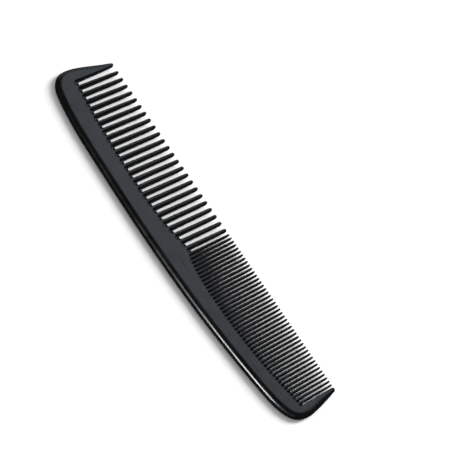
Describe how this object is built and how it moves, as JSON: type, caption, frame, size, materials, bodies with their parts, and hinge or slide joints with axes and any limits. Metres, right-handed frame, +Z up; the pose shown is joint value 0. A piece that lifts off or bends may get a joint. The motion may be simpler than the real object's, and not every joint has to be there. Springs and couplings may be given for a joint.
{
  "type": "hair comb",
  "caption": "Flat moulded pocket comb with a row of coarse teeth beside a row of fine teeth, solid end guards and a rounded back.",
  "frame": {"origin": "centre of the comb's length and width, on its lower face", "axes": "+X along the comb from the coarse teeth to the fine teeth, +Y from the back towards the tooth tips, +Z up through the thickness"},
  "size_m": [0.1284, 0.026, 0.0033],
  "materials": {
    "back_plastic": "satin black moulded plastic, polished on the rounded back edge",
    "teeth_plastic": "satin black moulded plastic"
  },
  "bodies": {
    "root": {"back": "back_plastic", "coarse_teeth": "teeth_plastic", "fine_teeth": "teeth_plastic"}
  },
  "joints": []
}
